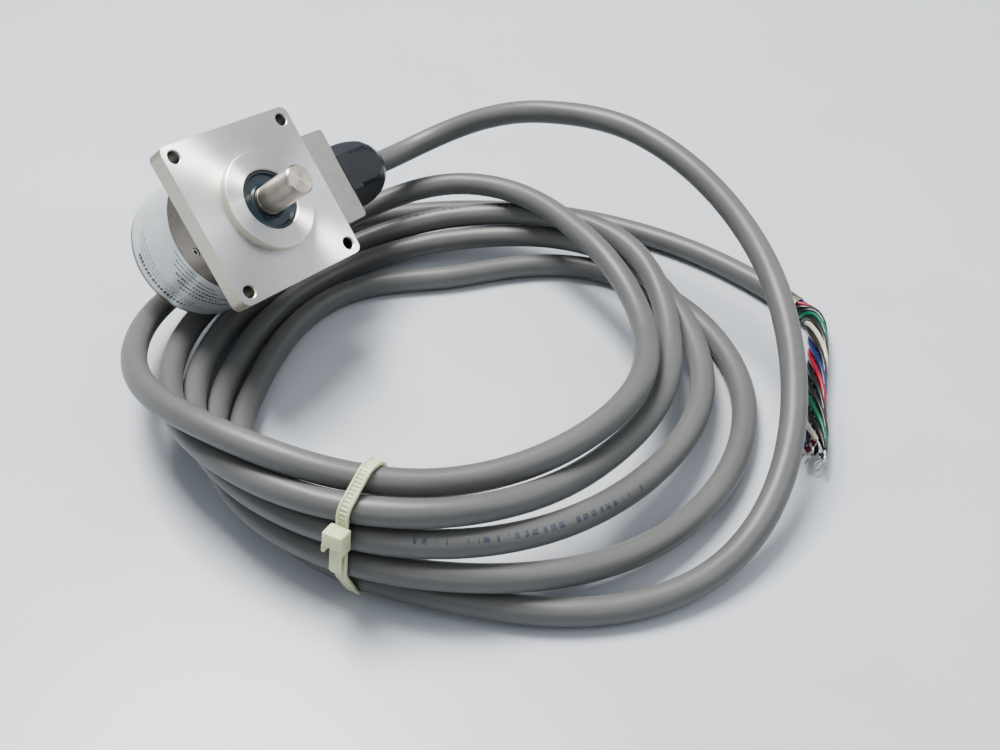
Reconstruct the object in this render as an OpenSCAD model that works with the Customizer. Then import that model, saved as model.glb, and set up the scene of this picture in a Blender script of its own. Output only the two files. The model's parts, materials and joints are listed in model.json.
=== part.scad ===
// Square-flange rotary shaft encoder, leaning on its own coiled and tied lead cable.
// Units are millimetres and +Z is up from the bench. The encoder is modelled in its own
// frame (flange face at z = 0, shaft along +z, cable outlet on the +x side) and lean()
// tilts its pieces into place. The cable, cores and tie are built in the bench frame.

/* [Flange and housing] */
// Side of the square flange
flange_w = 52.3; // [50:0.1:56]
// Thickness of the square flange
flange_t = 6.35; // [5:0.05:8]
// Corner radius of the flange
flange_r = 2.6; // [1:0.1:5]
// Distance between neighbouring mounting holes
hole_pitch = 44.45; // [42:0.05:47]
// Diameter of each mounting hole
hole_d = 3.96; // [3.4:0.01:5]
// Diameter of the locating pilot
pilot_d = 31.75; // [30:0.05:34]
// Height of the locating pilot above the flange
pilot_h = 3.1; // [2:0.1:4]
// Diameter of the recess in the pilot round the shaft
recess_d = 19.1; // [17:0.1:21]
// Outside diameter of the rear cover
cover_d = 45.2; // [44:0.1:52]
// Depth of the rear cover behind the flange face
cover_l = 46; // [44:0.5:60]

/* [Shaft and bearings] */
// Shaft diameter
shaft_d = 9.525; // [9.5:0.005:9.55]
// Shaft end above the flange face
shaft_l = 19.05; // [12:0.05:30]
// Bearing outside diameter
bearing_od = 22.22; // [22:0.01:22.3]
// Bearing width
bearing_w = 7.142; // [6:0.001:8]
// Bearing ball diameter
ball_d = 3.968; // [3.5:0.001:4.2]
// Balls in each bearing
balls = 8; // [7:1:9]
// Distance of the front bearing centre behind the flange face
front_depth = 5.2; // [5:0.05:6]
// Distance of the rear bearing centre behind the flange face
rear_depth = 18.85; // [18:0.05:20]

/* [Optics] */
// Code disc diameter
disc_d = 36; // [30:0.5:37]
// Radius of the code track
track_r = 15.9; // [13:0.1:16.5]
// Direction of the optical head round the shaft
optic_angle = 120; // [100:5:150]

/* [Cable outlet] */
// Width of the outlet block
block_w = 32.5; // [28:0.1:32.5]
// Distance of the block's outer face from the shaft
block_x = 42; // [40:0.5:48]
// Distance across the flats of the gland base
gland_af = 22.5; // [20:0.5:25]
// Offset of the gland behind the flange face
gland_z = 17.5; // [16:0.1:19]
// Offset of the gland across the block, towards -y
gland_y = 0.5; // [-1:0.1:1]

/* [Cable] */
// Cable outside diameter
cable_d = 8.0; // [7:0.1:8]
// Sides of the swept cable section
cable_sides = 14; // [8:1:16]
// Sections per eighth of a turn
cable_steps = 6; // [4:1:8]
// Where on the last eighth-turn the jacket is cut, in eighths from the first row
cable_end = 41.57; // [41:0.01:41.6]
// Direction the cable tie's plane runs outward, clockwise from the back
tie_angle = 207; // [188:1:214]
// Width of the tie strap
tie_w = 3.6; // [2.5:0.1:4.8]
// Diameter of one core wire over its insulation
wire_d = 1.4; // [1:0.1:1.6]
// Turns of twist in the loose cores
twist = 2.1; // [1:0.1:4]

/* [Pose on the bench] */
// Elevation of the shaft above the bench
tilt = 40.5; // [35:0.1:50]
// Heading of the encoder about the vertical
heading = 63.4; // [0:0.1:180]
// Turn of the housing about its own shaft
roll = -12.8; // [-45:0.1:45]

// Which piece to draw
node = "all";

/* [Hidden] */
$fn = 64;
flange_at = [-68.3, 16.1, 60.1]; // centre of the flange face on the bench
coil_mid = [-12.1, -1.4, 0];
gap = 0.03; // clearance between touching pieces
overlap = 0.01;

cover_r = cover_d/2;
cover_wall = 1;
cover_corner = 2.2;
skin_r = cover_r - cover_wall;
body_r = skin_r - 0.1; // housing inside the cover
skirt_bore_r = 17.5;
floor_z = -11.5; // rear of the solid part of the housing
skirt_z = -17; // rear of the skirt round its edge
bearing_r = bearing_od/2;
tube_r = bearing_r + 2.4; // tube that holds the bearings
shaft_r = shaft_d/2;
shaft_bore_r = shaft_r + 0.015;
pitch_r = 7.94; // circle of the ball centres
front_z = -front_depth;
rear_z = -rear_depth;
circlip_z = [-24.2, -23.3];
shaft_clip_z = [-23.15, -22.45];

board_z = -38; // face of the board towards the flange
board_t = 1.6;
board_back_z = board_z - board_t;
disc_z = -31.05; // face of the disc towards the flange
disc_t = 1;
disc_bore_r = 6.55;

post_r = 19.7;
post_angles = [60, 180, 300];
cover_screw_angles = [70, 190, 310];
cover_screw_z = -13.5;
block_screw_z = -9;
block_screw_y = 12.8;
lead_hole_z = -23;
lead_hole_r = 4.6;
saddle_r = cover_r + 0.85; // hollow of the outlet block round the cover
cable_r = cable_d/2;

// Coil: reach and height of the cable centre at each eighth of a turn, clockwise
// seen from above, starting at the back. One row per turn.
coil_turns = [
  [[92,50],[91,57],[103,36],[112.5,7],[91,5.6],[79,5.8],[62.5,4.2],[60,4.1]],
  [[55,4.1],[80,4.1],[94,4.3],[95.5,7],[91.8,15],[84.5,12.6],[72,5.8],[71,4.3]],
  [[71.5,8.8],[81,12.3],[81.5,9],[80.5,14.5],[87.8,23.2],[85.5,21],[80.5,10.2],[81.5,4.2]],
  [[78,14.7],[80,20.7],[71,15],[70.3,20],[84,31],[87.5,29.3],[88.5,14.5],[92,6.2]],
  [[86,24],[65,27],[62,23],[66.9,30.2],[74.8,32.6],[86,38],[100,20],[101,6]],
  [[98,4.2],[110,4.1],[138,4.1],[180,4.1]]];
coil = [for (turn = coil_turns) for (point = turn) point];
coil_start = 0.45; // in eighths of a turn

NODES = ["flange_housing", "shaft", "shaft_seal",
  "front_outer_race", "front_inner_race", "front_balls", "front_cage", "front_shield",
  "rear_outer_race", "rear_inner_race", "rear_balls", "rear_cage", "rear_shield",
  "race_spacer", "inner_spacer", "preload_spring", "housing_circlip", "shaft_clip",
  "disc_hub", "hub_screws", "code_disc", "disc_nut",
  "emitter_holder", "emitter", "emitter_leads", "light_sensor", "reticle_holder", "reticle",
  "circuit_board", "board_parts", "board_posts", "board_screws", "board_connector", "inner_leads",
  "rear_cover", "cover_screws", "data_label",
  "cable_block", "block_gasket", "block_screws",
  "gland_body", "gland_grommet", "gland_nut",
  "cable_jacket", "shield_end", "core_red", "core_white", "core_green", "core_blue",
  "cores_black", "core_tips", "cable_tie"];

// ---------- placement and shared shapes ----------
module lean()
  translate(flange_at) rotate([0, 0, heading]) rotate([90 - tilt, 0, 0]) rotate([0, 0, roll])
    children();
module along_x(x, y, z) translate([x, y, z]) rotate([0, 90, 0]) children();
module radial(angle, radius, z)
  rotate([0, 0, angle]) translate([radius, 0, z]) rotate([0, 90, 0]) children();
module at_posts(z = 0)
  for (angle = post_angles) rotate([0, 0, angle]) translate([post_r, 0, z]) children();
module at_cover_screws(radius)
  for (angle = cover_screw_angles) radial(angle, radius, cover_screw_z) children();
module at_block_screws(x)
  for (y = [-block_screw_y, block_screw_y]) along_x(x, y, block_screw_z) children();
// Optical head frame: x runs outward through the head
module lean_optics() lean() rotate([0, 0, optic_angle]) children();

module ring(outer, inner, bottom, top) {
  translate([0, 0, bottom]) difference() {
    cylinder(r = outer, h = top - bottom);
    translate([0, 0, -1]) cylinder(r = inner, h = top - bottom + 2);
  }
}
module gap_ring(outer, inner, bottom, top, angle) {
  difference() {
    ring(outer, inner, bottom, top);
    rotate([0, 0, angle]) translate([inner*0.3, -2, bottom - 1]) cube([outer, 4, top - bottom + 2]);
  }
}
module round_square(width, corner) {
  square([width - 2*corner, width], center = true);
  square([width, width - 2*corner], center = true);
  mid = width/2 - corner;
  for (x = [-mid, mid]) for (y = [-mid, mid]) translate([x, y]) circle(corner);
}

// ---------- swept tubes ----------
function unit(v) = v/norm(v);
function tangent(path, i) = unit(path[min(i + 1, len(path) - 1)] - path[max(i - 1, 0)]);
function side_of(dir, ref) = unit(cross(dir, ref));
// Tube along path; ref is any direction the path never runs along
module rope(path, radius, sides, ref = [0, 0, 1]) {
  last = len(path) - 1;
  points = [for (i = [0:last])
    let(dir = tangent(path, i), side = side_of(dir, ref), up = cross(side, dir))
    for (k = [0:sides - 1])
      path[i] + radius*(cos(360*k/sides)*side + sin(360*k/sides)*up)];
  function corner(i, k) = i*sides + k%sides;
  faces = concat(
    [[for (k = [0:sides - 1]) k]],
    [for (i = [0:last - 1]) for (k = [0:sides - 1])
      [corner(i, k), corner(i + 1, k), corner(i + 1, k + 1)]],
    [for (i = [0:last - 1]) for (k = [0:sides - 1])
      [corner(i, k), corner(i + 1, k + 1), corner(i, k + 1)]],
    [[for (k = [sides - 1:-1:0]) corner(last, k)]]);
  polyhedron(points = points, faces = faces, convexity = 10);
}
// Catmull-Rom curve from start to end, t running 0 to 1
function blend4(before, start, end, after, t) =
  0.5*(2*start + (end - before)*t + (2*before - 5*start + 4*end - after)*t*t
    + (3*start - before - 3*end + after)*t*t*t);
function knot(path, i) = path[max(0, min(len(path) - 1, i))];
function blend_at(path, i, t) =
  blend4(knot(path, i - 1), knot(path, i), knot(path, i + 1), knot(path, i + 2), t);
function smooth(path, steps) = concat(
  [for (i = [0:len(path) - 2]) for (k = [0:steps - 1]) blend_at(path, i, k/steps)],
  [path[len(path) - 1]]);

// ---------- cable route ----------
// Centre of the coiled cable at a place counted in eighths of a turn
function coil_at(eighths) =
  let(i = floor(eighths), reach_height = blend_at(coil, i, eighths - i), reach = reach_height[0])
  coil_mid + [reach*sin(45*eighths), reach*cos(45*eighths), reach_height[1]];
function turn_x(p, angle) =
  [p[0], p[1]*cos(angle) - p[2]*sin(angle), p[1]*sin(angle) + p[2]*cos(angle)];
function turn_z(p, angle) =
  [p[0]*cos(angle) - p[1]*sin(angle), p[0]*sin(angle) + p[1]*cos(angle), p[2]];
function leant(p) = turn_z(turn_x(turn_z(p, roll), 90 - tilt), heading);

gland_out = flange_at + leant([72, -gland_y, -gland_z]);
gland_in = flange_at + leant([31, -gland_y, -gland_z]);
gland_dir = leant([1, 0, 0]);
arc_at = coil_at(coil_start);
arc_dir = unit(coil_at(coil_start + 0.05) - coil_at(coil_start - 0.05));
gland_pull = 28; // handle lengths of the curve from gland to coil
coil_pull = 26;
function lead_at(t) = pow(1 - t, 3)*gland_out
  + 3*pow(1 - t, 2)*t*(gland_out + gland_pull*gland_dir)
  + 3*(1 - t)*t*t*(arc_at - coil_pull*arc_dir) + pow(t, 3)*arc_at;

coil_n = floor((cable_end - coil_start)*cable_steps);
route = concat(
  [gland_in, gland_out - 20*gland_dir],
  [for (k = [0:8]) lead_at(k/9)],
  [for (k = [0:coil_n]) coil_at(coil_start + (cable_end - coil_start)*k/coil_n)]);
tail_at = coil_at(cable_end);
tail_dir = unit(coil_at(cable_end) - coil_at(cable_end - 0.05));
tail_heading = atan2(tail_dir[1], tail_dir[0]);

// ---------- housing ----------
tube_end_z = -24.8;
pilot_chamfer = 0.3;

module flange_housing() color([0.80, 0.79, 0.76]) lean() difference() {
  union() {
    translate([0, 0, -flange_t]) linear_extrude(flange_t) round_square(flange_w, flange_r);
    translate([0, 0, -overlap]) cylinder(r = pilot_d/2, h = pilot_h - pilot_chamfer + overlap);
    translate([0, 0, pilot_h - pilot_chamfer])
      cylinder(r1 = pilot_d/2, r2 = pilot_d/2 - pilot_chamfer, h = pilot_chamfer);
    translate([0, 0, floor_z]) cylinder(r = body_r, h = -floor_z - flange_t + overlap);
    ring(body_r, skirt_bore_r, skirt_z, floor_z + overlap);
    translate([0, 0, tube_end_z]) cylinder(r = tube_r, h = -tube_end_z - flange_t);
  }
  // Bearing bore, seal recess with its chamfer, and circlip groove
  translate([0, 0, -25.5]) cylinder(r = bearing_r + 0.015, h = 25.5 - 1.6);
  translate([0, 0, -2]) cylinder(r = recess_d/2, h = 6);
  translate([0, 0, pilot_h - 0.4]) cylinder(r1 = recess_d/2, r2 = recess_d/2 + 0.5, h = 0.5);
  translate([0, 0, circlip_z[0] - 0.05]) cylinder(r = bearing_r + 0.6, h = 1);
  // Mounting holes with their chamfers
  for (x = [-hole_pitch/2, hole_pitch/2]) for (y = [-hole_pitch/2, hole_pitch/2])
    translate([x, y, 0]) {
      translate([0, 0, -flange_t - 1]) cylinder(d = hole_d, h = flange_t + 2);
      translate([0, 0, -0.35]) cylinder(r1 = hole_d/2, r2 = hole_d/2 + 0.45, h = 0.45);
    }
  at_cover_screws(18.4) cylinder(r = 1.2, h = 5);
  at_block_screws(9.5) cylinder(r = 1.25, h = 14);
  at_posts(skirt_z - 1) cylinder(r = 0.95, h = 3);
}

shaft_chamfer_h = 0.6;
shaft_rear_z = -34.4;
module shaft() color([0.72, 0.70, 0.66]) lean() difference() {
  union() {
    translate([0, 0, shaft_rear_z])
      cylinder(d = shaft_d, h = -shaft_rear_z + shaft_l - shaft_chamfer_h);
    translate([0, 0, shaft_l - shaft_chamfer_h])
      cylinder(r1 = shaft_r, r2 = shaft_r - 0.5, h = shaft_chamfer_h);
  }
  ring(shaft_r + 1, 4.3, shaft_clip_z[0] - gap, shaft_clip_z[1] + gap); // clip groove
  ring(shaft_r + 1, shaft_r - 0.15, 2.6, 3.2); // shallow groove by the pilot
}

// Seal section: radius, z
seal_outline = [[8.5, -1.55], [9.5, -1.55], [9.5, 2.1], [9.25, 2.4], [8.75, 2.4],
  [8.55, 1.9], [8.3, 1.35], [5.9, 1.05], [5.3, 1.5], [4.93, 1.2],
  [4.93, 0.5], [5.5, 0.1], [8.2, 0.35], [8.5, 0.1]];
module shaft_seal() color([0.08, 0.11, 0.12]) lean() rotate_extrude() polygon(seal_outline);

// ---------- ball bearings ----------
outer_race_bore_r = 9.2;
inner_race_r = 6.65;
shield_r = [9.17, 6.8];
shield_inset = [0.1, 0.5]; // shield faces, in from the bearing's end face

module race(outer, inner, z) difference() {
  ring(outer, inner, z - bearing_w/2, z + bearing_w/2);
  translate([0, 0, z]) rotate_extrude() translate([pitch_r, 0]) circle(ball_d/2 + 0.05);
}
module outer_race(z) race(bearing_r, outer_race_bore_r, z);
module inner_race(z) race(inner_race_r, shaft_bore_r, z);
module ball_set(z)
  for (k = [0:balls - 1])
    rotate([0, 0, 360*k/balls]) translate([pitch_r, 0, z]) sphere(d = ball_d);
module cage(z) difference() {
  ring(8.75, 7.15, z - 2.4, z + 2.4);
  for (k = [0:balls - 1]) radial(360*k/balls, 6, z) cylinder(d = ball_d + 0.12, h = 4);
}

module front_outer_race() color([0.62, 0.63, 0.64]) lean() outer_race(front_z);
module front_inner_race() color([0.62, 0.63, 0.64]) lean() inner_race(front_z);
module front_balls() color([0.75, 0.76, 0.78]) lean() ball_set(front_z);
module front_cage() color([0.70, 0.62, 0.35]) lean() cage(front_z);
module front_shield() color([0.35, 0.45, 0.50]) lean()
  ring(shield_r[0], shield_r[1],
    front_z + bearing_w/2 - shield_inset[1], front_z + bearing_w/2 - shield_inset[0]);
module rear_outer_race() color([0.62, 0.63, 0.64]) lean() outer_race(rear_z);
module rear_inner_race() color([0.62, 0.63, 0.64]) lean() inner_race(rear_z);
module rear_balls() color([0.75, 0.76, 0.78]) lean() ball_set(rear_z);
module rear_cage() color([0.70, 0.62, 0.35]) lean() cage(rear_z);
module rear_shield() color([0.35, 0.45, 0.50]) lean()
  ring(shield_r[0], shield_r[1],
    rear_z - bearing_w/2 + shield_inset[0], rear_z - bearing_w/2 + shield_inset[1]);

// Between the bearings
spacer_z = [rear_z + bearing_w/2 + gap, front_z - bearing_w/2 - gap];
module race_spacer() color([0.66, 0.66, 0.68]) lean()
  ring(bearing_r - 0.01, 9.75, spacer_z[0], spacer_z[1]);
module inner_spacer() color([0.66, 0.66, 0.68]) lean()
  ring(6.3, shaft_bore_r, spacer_z[0], spacer_z[1]);
// Behind the rear bearing
module preload_spring() color([0.45, 0.45, 0.47]) lean()
  gap_ring(bearing_r - 0.1, 9.9, -23.22, rear_z - bearing_w/2 - gap, 200);
module housing_circlip() color([0.30, 0.30, 0.32]) lean()
  gap_ring(bearing_r + 0.5, 9.9, circlip_z[0], circlip_z[1], 20);
module shaft_clip() color([0.30, 0.30, 0.32]) lean()
  gap_ring(6.6, 4.34, shaft_clip_z[0], shaft_clip_z[1], 90);

// ---------- code disc ----------
hub_screw_z = -26.6;
hub_screw_angles = [0, 90];

module disc_hub() color([0.78, 0.66, 0.35]) lean() difference() {
  union() {
    translate([0, 0, -30]) cylinder(r = 8, h = 6.2);
    translate([0, 0, disc_z + gap]) cylinder(r = 11, h = 1.2);
    translate([0, 0, -33.7]) cylinder(r = disc_bore_r - 0.05, h = 3);
  }
  translate([0, 0, -35]) cylinder(r = shaft_bore_r, h = 13);
  for (angle = hub_screw_angles) radial(angle, 4, hub_screw_z) cylinder(r = 1.05, h = 6);
}
module hub_screws() color([0.20, 0.20, 0.22]) lean()
  for (angle = hub_screw_angles) radial(angle, 4.85, hub_screw_z) difference() {
    cylinder(r = 1.0, h = 2.9);
    translate([0, 0, 1.7]) cylinder(r = 0.5, h = 2, $fn = 6);
  }
module code_disc() color([0.70, 0.85, 0.88, 0.45]) lean()
  ring(disc_d/2, disc_bore_r, disc_z - disc_t, disc_z);
module disc_nut() color([0.78, 0.66, 0.35]) lean() difference() {
  ring(10.5, disc_bore_r, disc_z - 2.3, disc_z - disc_t - gap);
  for (angle = [45, 225])
    rotate([0, 0, angle]) translate([8.6, 0, disc_z - 3]) cylinder(r = 0.6, h = 1.2);
}

// ---------- optical head ----------
emitter_r = 1.5;
emitter_z = -27.6; // where the domed tip meets the barrel
holder_z = -28.5;
reticle_holder_h = 4.2;

module emitter_holder() color([0.10, 0.10, 0.11]) lean_optics() difference() {
  translate([tube_r + 0.05, -3.5, holder_z]) cube([18.7 - tube_r, 7, -holder_z + floor_z - gap]);
  translate([track_r, 0, holder_z - 0.5]) cylinder(r = emitter_r + 0.05, h = 12);
  translate([track_r, -1.3, -21.6]) cube([6, 2.6, 3]); // slot for the leads
  ring(25, skirt_bore_r - 0.1, skirt_z - 0.05, floor_z + 1); // room for the skirt
}
module emitter() color([0.85, 0.80, 0.85]) lean_optics() translate([track_r, 0, 0]) {
  translate([0, 0, emitter_z]) cylinder(r = emitter_r, h = 4.2);
  intersection() {
    translate([0, 0, emitter_z]) sphere(r = emitter_r);
    translate([-2, -2, -29.5]) cube([4, 4, 1.95]);
  }
}
module emitter_leads() color([0.80, 0.80, 0.78]) lean_optics() for (side = [-1, 1])
  rope(smooth([
    [track_r, 0.6*side, -23.3], [track_r, 0.6*side, -21.2],
    [track_r + 1.2, 0.7*side, -20.1], [track_r + 3.6, 0.8*side, -20.2],
    [20.2, 0.8*side, -22.5], [20.3, 0.8*side, -30],
    [20.3, 0.8*side, board_z + 0.1]], 4), 0.25, 8, [0, 1, 0]);
module light_sensor() color([0.12, 0.12, 0.14]) lean_optics()
  translate([13.9, -2.4, board_z + gap]) cube([4, 4.8, 2.8]);
module reticle_holder() color([0.16, 0.16, 0.17]) lean_optics() difference() {
  translate([12.9, -4, board_z + gap]) cube([6, 8, reticle_holder_h]);
  translate([13.75, -2.6, board_z - 1]) cube([4.3, 5.2, 7]);
}
module reticle() color([0.65, 0.80, 0.84, 0.5]) lean_optics()
  translate([13.1, -3.4, board_z + reticle_holder_h + 2*gap]) cube([5.6, 6.8, 0.7]);

// ---------- electronics ----------
// Boxes on the back of the board: corner x, corner y, size x, size y, height
board_boxes = concat(
  [[-8, 3, 9, 6.5, 1.7], [4, 5, 6, 5, 1.5], [-9, -7, 5, 4, 1.4], [3, -9, 7, 4.5, 1.7]],
  [for (k = [0:4]) [-12 + 3*k, 13, 1.6, 0.9, 0.7]],
  [for (k = [0:2]) [-13.5, -2.8 + 2.2*k, 2, 1.2, 0.8]]);
// y of each connector way
connector_y = [for (k = [0:5]) -3.25 + 1.3*k];

module circuit_board() color([0.10, 0.36, 0.20]) lean() difference() {
  translate([0, 0, board_back_z]) cylinder(r = 21.2, h = board_t);
  at_posts(board_z - 3) cylinder(r = 0.9, h = 6);
}
module board_parts() color([0.12, 0.12, 0.13]) lean() for (box = board_boxes)
  translate([box[0], box[1], board_back_z - gap - box[4]]) cube([box[2], box[3], box[4]]);
module board_posts() color([0.74, 0.62, 0.34]) lean() at_posts() difference() {
  union() {
    translate([0, 0, board_z + gap]) cylinder(r = 1.4, h = -board_z + skirt_z - 2*gap);
    translate([0, 0, skirt_z - 0.5]) cylinder(r = 0.9, h = 2.2);
  }
  translate([0, 0, board_z - 1]) cylinder(r = 0.82, h = 5);
}
module board_screws() color([0.55, 0.55, 0.57]) lean() at_posts() {
  translate([0, 0, board_back_z - gap - 0.9]) difference() {
    cylinder(r = 1.4, h = 0.9);
    translate([-2, -0.2, -1]) cube([4, 0.4, 1.4]);
  }
  translate([0, 0, board_back_z - 0.1 - gap]) cylinder(r = 0.78, h = 4.6);
}
module board_connector() color([0.90, 0.88, 0.80]) lean() difference() {
  translate([12.2, -5, board_z + gap]) cube([4.2, 10, 3]);
  for (y = connector_y) translate([15.2, y - 0.5, board_z + 1]) cube([2, 1, 1.2]);
}
// Leads from the cable's inner end, through the cover, to the connector
module inner_leads() color([0.75, 0.15, 0.12]) lean() for (k = [0:5]) let(y = connector_y[k])
  rope(smooth([
    [30.7, -gland_y + 0.73*y, -gland_z + 0.5*(k%2)], [28.8, -gland_y + 0.8*y, -gland_z - 1.4],
    [25.6, y, -21.8], [22.4, y, -23.4], [20.6, y, -26], [20.35, y, -31.5],
    [19.6, y, -35], [17.8, y, -36.4], [16.45, y, -36.4]], 4),
    0.42, 8, [0, 1, 0]);

// ---------- rear cover and label ----------
cover_front_z = -flange_t - 0.1;
label_angle = 47; // label edge, either side of the +x direction

// Point on the rear corner's section, angle 0 outward and 90 to the rear
function corner_at(radius, angle) =
  [cover_r - cover_corner, cover_corner - cover_l] + radius*[cos(angle), -sin(angle)];

module rear_cover() color([0.52, 0.49, 0.45]) lean() difference() {
  rotate_extrude() polygon(concat(
    [[skin_r, cover_front_z], [cover_r, cover_front_z]],
    [for (k = [0:8]) corner_at(cover_corner, 90*k/8)],
    [[0, -cover_l], [0, -cover_l + cover_wall]],
    [for (k = [6:-1:0]) corner_at(cover_corner - cover_wall, 90*k/6)]));
  at_cover_screws(20) cylinder(r = 1.4, h = 5);
  along_x(15, 0, lead_hole_z) cylinder(r = lead_hole_r, h = 12);
  at_block_screws(14) cylinder(r = 1.5, h = 10);
}
module cover_screws() color([0.42, 0.41, 0.40]) lean() {
  at_cover_screws(18.6) cylinder(r = 1.15, h = 3.2);
  at_cover_screws(21.7) difference() {
    cylinder(r = 1.32, h = 1.1);
    translate([0, 0, 0.4]) cylinder(r = 0.75, h = 2, $fn = 6);
  }
}
module data_label() color([0.86, 0.88, 0.88]) lean() rotate([0, 0, label_angle])
  rotate_extrude(angle = 360 - 2*label_angle)
    translate([cover_r + 0.02, -43.2]) square([0.13, 23]);

// ---------- cable outlet block ----------
block_back_x = 15; // start of the block before the saddle is cut
block_rear_z = -31;
block_corner = 1.5;
head_seat = 2.4; // depth of the screw head pockets

module cable_block() color([0.66, 0.66, 0.64]) lean() difference() {
  translate([0, 0, block_rear_z]) linear_extrude(-block_rear_z - flange_t - 0.15) {
    translate([block_back_x, -block_w/2])
      square([block_x - block_back_x - block_corner, block_w]);
    translate([block_back_x, -block_w/2 + block_corner])
      square([block_x - block_back_x, block_w - 2*block_corner]);
    for (side = [-1, 1])
      translate([block_x - block_corner, side*(block_w/2 - block_corner)]) circle(block_corner);
  }
  translate([0, 0, -40]) cylinder(r = saddle_r, h = 45);
  translate([26, -10.3, -27.5]) cube([12, 20.6, 18]); // inner chamber
  along_x(18, 0, lead_hole_z) cylinder(r = lead_hole_r, h = 9);
  gland_at(37) cylinder(r = 7.9, h = 6);
  at_block_screws(10) cylinder(r = 1.35, h = 40);
  at_block_screws(block_x - head_seat) cylinder(r = 2.3, h = 4);
}
module block_gasket() color([0.10, 0.10, 0.10]) lean() difference() {
  intersection() {
    ring(saddle_r - gap, cover_r + 0.02, -30.4, -flange_t - 0.9);
    translate([1, -15.4, -31]) cube([30, 30.8, 31]);
  }
  along_x(15, 0, lead_hole_z) cylinder(r = lead_hole_r + 0.3, h = 12);
  at_block_screws(10) cylinder(r = 1.7, h = 20);
}
module block_screws() color([0.22, 0.22, 0.24]) lean() {
  at_block_screws(10) cylinder(r = 1.2, h = block_x - 2.35 - 10);
  at_block_screws(block_x - head_seat + gap) difference() {
    cylinder(r = 2.2, h = 2.2);
    translate([0, 0, 1]) cylinder(r = 1.15, h = 2, $fn = 6);
  }
}

// ---------- cable gland ----------
// Section tables are radius, distance x from the shaft
grommet_bore_r = cable_r + 0.03;
nut_bore_r = cable_r + 0.3;
grommet_outline = [[grommet_bore_r, 49.05], [6.95, 49.05], [6.95, 57.2], [5.6, 61.4],
  [grommet_bore_r, 61.4]];
nut_outline = [[0, 47.6], [11.2, 47.6], [11.8, 48.3], [11.8, 55], [11.4, 58], [10.5, 61],
  [9.2, 63.3], [7.6, 65.3], [6.7, 66], [0, 66]];
nut_hollow = [[0, 46], [9.4, 46], [9.4, 56.2], [7.1, 58], [5.9, 62], [nut_bore_r, 62.4],
  [nut_bore_r, 65], [cable_r + 1.4, 68], [0, 68]];

module gland_at(x) along_x(x, -gland_y, -gland_z) children();
module gland_body() color([0.05, 0.05, 0.06]) lean() difference() {
  union() {
    gland_at(36.6) cylinder(r = 7.85, h = 6);
    gland_at(block_x + gap) rotate([0, 0, 90]) cylinder(r = gland_af/2/cos(30), h = 5.3, $fn = 6);
    gland_at(46) cylinder(r = 9.3, h = 9);
  }
  gland_at(30) cylinder(r = 4.5, h = 30);
  gland_at(49) cylinder(r = 7.0, h = 10);
}
module gland_grommet() color([0.14, 0.14, 0.14]) lean()
  gland_at(0) rotate_extrude() polygon(grommet_outline);
module gland_nut() color([0.05, 0.05, 0.06]) lean() difference() {
  intersection() {
    gland_at(47.6) rotate([0, 0, 90]) cylinder(r = 12.2, h = 22, $fn = 6);
    gland_at(0) rotate_extrude() polygon(nut_outline);
  }
  gland_at(0) rotate_extrude() polygon(nut_hollow);
}

// ---------- cable and loose cores ----------
// Shared centre line of the cores; each core is wound round it
core_line = smooth([tail_at + 0.45*tail_dir, tail_at + 9*tail_dir,
  [113.1, 25.6, 5.2], [111.1, 11.6, 6], [107.4, -3.4, 6.4],
  [103.8, -18.4, 6.4], [100.9, -33.4, 6], [97.6, -44.4, 5.4]], 7);
core_spans = len(core_line) - 1;
// Point on core number j at fraction t of the centre line; cores spread near the tips
function core_at(j, t) =
  let(
    i = min(floor(t*core_spans), core_spans - 1),
    part = t*core_spans - i,
    dir = tangent(core_line, i),
    centre = core_line[i]*(1 - part) + core_line[i + 1]*part,
    side = side_of(dir, [0, 0, 1]),
    up = cross(side, dir),
    spread = 2.32 + 0.3*min(1, 6*t) + 1.3*pow(t, 7)*(1 + 0.3*sin(137*j)),
    angle = 45*j + 360*twist*t)
  centre + spread*(cos(angle)*side + sin(angle)*up);
// Where the insulation of core j ends
function core_stop(j) = 0.905 + 0.018*sin(95*j);
module core(j) rope([for (k = [0:36]) core_at(j, core_stop(j)*k/36)], wire_d/2, 8);

module cable_jacket() color([0.55, 0.55, 0.53]) rope(route, cable_r, cable_sides);
module shield_end() color([0.60, 0.60, 0.58])
  translate(tail_at + 0.35*tail_dir) rotate([0, 0, tail_heading]) rotate([0, 90, 0]) difference() {
    union() {
      cylinder(r = 3.62, h = 6.5);
      for (k = [0:5]) translate([0, 0, 0.6 + k]) cylinder(r = 3.85, h = 0.5);
    }
    translate([0, 0, -1]) cylinder(r = 3.4, h = 10);
  }
module core_red() color([0.75, 0.10, 0.12]) core(0);
module core_white() color([0.88, 0.87, 0.80]) core(3);
module core_green() color([0.05, 0.45, 0.30]) core(5);
module core_blue() color([0.08, 0.14, 0.45]) core(1);
module cores_black() color([0.06, 0.06, 0.07]) for (j = [2, 4, 6, 7]) core(j);
module core_tips() color([0.78, 0.78, 0.76]) for (j = [0:7])
  rope([for (k = [0:5]) core_at(j, core_stop(j) + 0.002 + (0.998 - core_stop(j))*k/5)], 0.42, 8);

// ---------- cable tie ----------
// An upright band round every strand, set a little askew to the coil's radius
tie_dir = [sin(tie_angle), cos(tie_angle), 0];
tie_side = [-cos(tie_angle), sin(tie_angle), 0];
tie_mid = coil_mid + [-20.5, -80.5, 0];
tie_gap = 0.35;
tie_t = 1.1;
// Distance of the cable from the tie's middle plane
function tie_off(eighths) = (coil_at(eighths) - tie_mid)*tie_side;
// Newton steps to the place where the cable is at distance off from that plane
function tie_step(eighths, off, steps) = steps == 0 ? eighths :
  tie_step(eighths - (tie_off(eighths) - off)*0.04/(tie_off(eighths + 0.02)
    - tie_off(eighths - 0.02)), off, steps - 1);
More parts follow.
